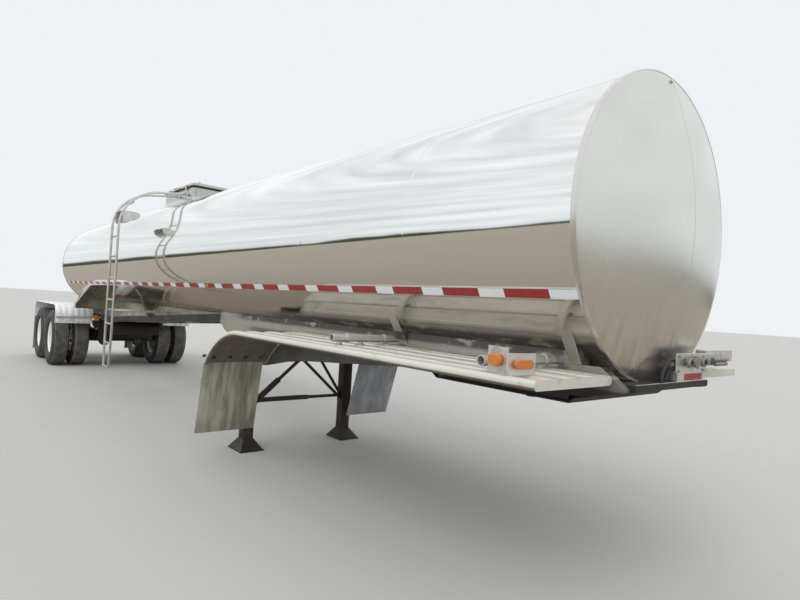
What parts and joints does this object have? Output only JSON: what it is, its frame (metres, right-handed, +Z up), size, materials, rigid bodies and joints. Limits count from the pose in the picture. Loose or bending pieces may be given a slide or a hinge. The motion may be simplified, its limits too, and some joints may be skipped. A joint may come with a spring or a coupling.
{
  "type": "tank semi-trailer",
  "caption": "Polished round tank semi-trailer standing on its landing gear, with tandem twin wheels, ladder, manhole housing and fenders.",
  "frame": {"origin": "middle of the bounding box at the ground under the feet and tyres", "axes": "+X towards the trailer's front, +Z up, -Y the kerb side with the ladder"},
  "size_m": [12.9, 2.424, 3.08],
  "materials": {
    "bracket_alu": "satin",
    "coupling_grey": "worn cast metal",
    "dark_steel": "dark painted steel, rust in places",
    "fender_white": "off-white, dusty",
    "flap_grey": "pale grey flap, dusty",
    "frame_steel": "stainless frame, road film",
    "hose_black": "matt",
    "hub_dark": "matt",
    "ladder_metal": "satin",
    "lamp_amber": "amber lens",
    "lamp_red": "red lens",
    "leg_rust": "dark with rust",
    "polished_steel": "mirror polished stainless steel",
    "rear_fender_white": "white, ribbed",
    "rim_white": "white",
    "satin_steel": "satin stainless steel, dulled",
    "tyre_black": "matt"
  },
  "bodies": {
    "trailer": {"air_hoses": "hose_black", "air_tanks": "dark_steel", "axle_front": "dark_steel", "axle_rear": "dark_steel", "bolsters": "frame_steel", "bumper": "bracket_alu", "coupler_box": "dark_steel", "coupler_plate": "dark_steel", "crank": "dark_steel", "fender_arms": "frame_steel", "fender_poles": "bracket_alu", "frame_rails": "frame_steel", "front_cradle": "frame_steel", "front_fender_left": "fender_white", "front_fender_right": "fender_white", "front_flaps": "flap_grey", "front_frame": "frame_steel", "gladhand_bracket": "bracket_alu", "gladhands": "coupling_grey", "head_front": "satin_steel", "head_rear": "satin_steel", "king_pin": "dark_steel", "ladder": "ladder_metal", "ladder_drop": "ladder_metal", "lamp_bracket": "bracket_alu", "leaf_springs": "dark_steel", "leg_braces": "leg_rust", "legs": "leg_rust", "manhole_housing": "satin_steel", "manway_cover": "satin_steel", "manway_neck": "satin_steel", "marker_lamps": "lamp_amber", "nose_box": "dark_steel", "outlet": "satin_steel", "rear_fender_left": "rear_fender_white", "rear_fender_right": "rear_fender_white", "rear_flaps": "flap_grey", "spring_hangers": "dark_steel", "tail_lamps": "lamp_red", "tank_barrel": "polished_steel"},
    "lid": {"housing_lid": "satin_steel"},
    "wheels_front_left": {"hub_front_left": "hub_dark", "rims_front_left": "rim_white", "tyres_front_left": "tyre_black"},
    "wheels_front_right": {"hub_front_right": "hub_dark", "rims_front_right": "rim_white", "tyres_front_right": "tyre_black"},
    "wheels_rear_left": {"hub_rear_left": "hub_dark", "rims_rear_left": "rim_white", "tyres_rear_left": "tyre_black"},
    "wheels_rear_right": {"hub_rear_right": "hub_dark", "rims_rear_right": "rim_white", "tyres_rear_right": "tyre_black"}
  },
  "joints": [
    {"name": "lid_hinge", "type": "hinge", "parent": "trailer", "child": "lid", "pos_m": [-0.72, 0.31, 3.006], "axis": [-1, 0, 0], "range_deg": [0, 175]},
    {"name": "wheels_front_right_turn", "type": "hinge", "parent": "trailer", "child": "wheels_front_right", "pos_m": [-4.58, -0.908, 0.512], "axis": [0, 1, 0], "continuous": true},
    {"name": "wheels_front_left_turn", "type": "hinge", "parent": "trailer", "child": "wheels_front_left", "pos_m": [-4.58, 0.908, 0.512], "axis": [0, 1, 0], "continuous": true},
    {"name": "wheels_rear_right_turn", "type": "hinge", "parent": "trailer", "child": "wheels_rear_right", "pos_m": [-5.825, -0.908, 0.512], "axis": [0, 1, 0], "continuous": true},
    {"name": "wheels_rear_left_turn", "type": "hinge", "parent": "trailer", "child": "wheels_rear_left", "pos_m": [-5.825, 0.908, 0.512], "axis": [0, 1, 0], "continuous": true}
  ]
}
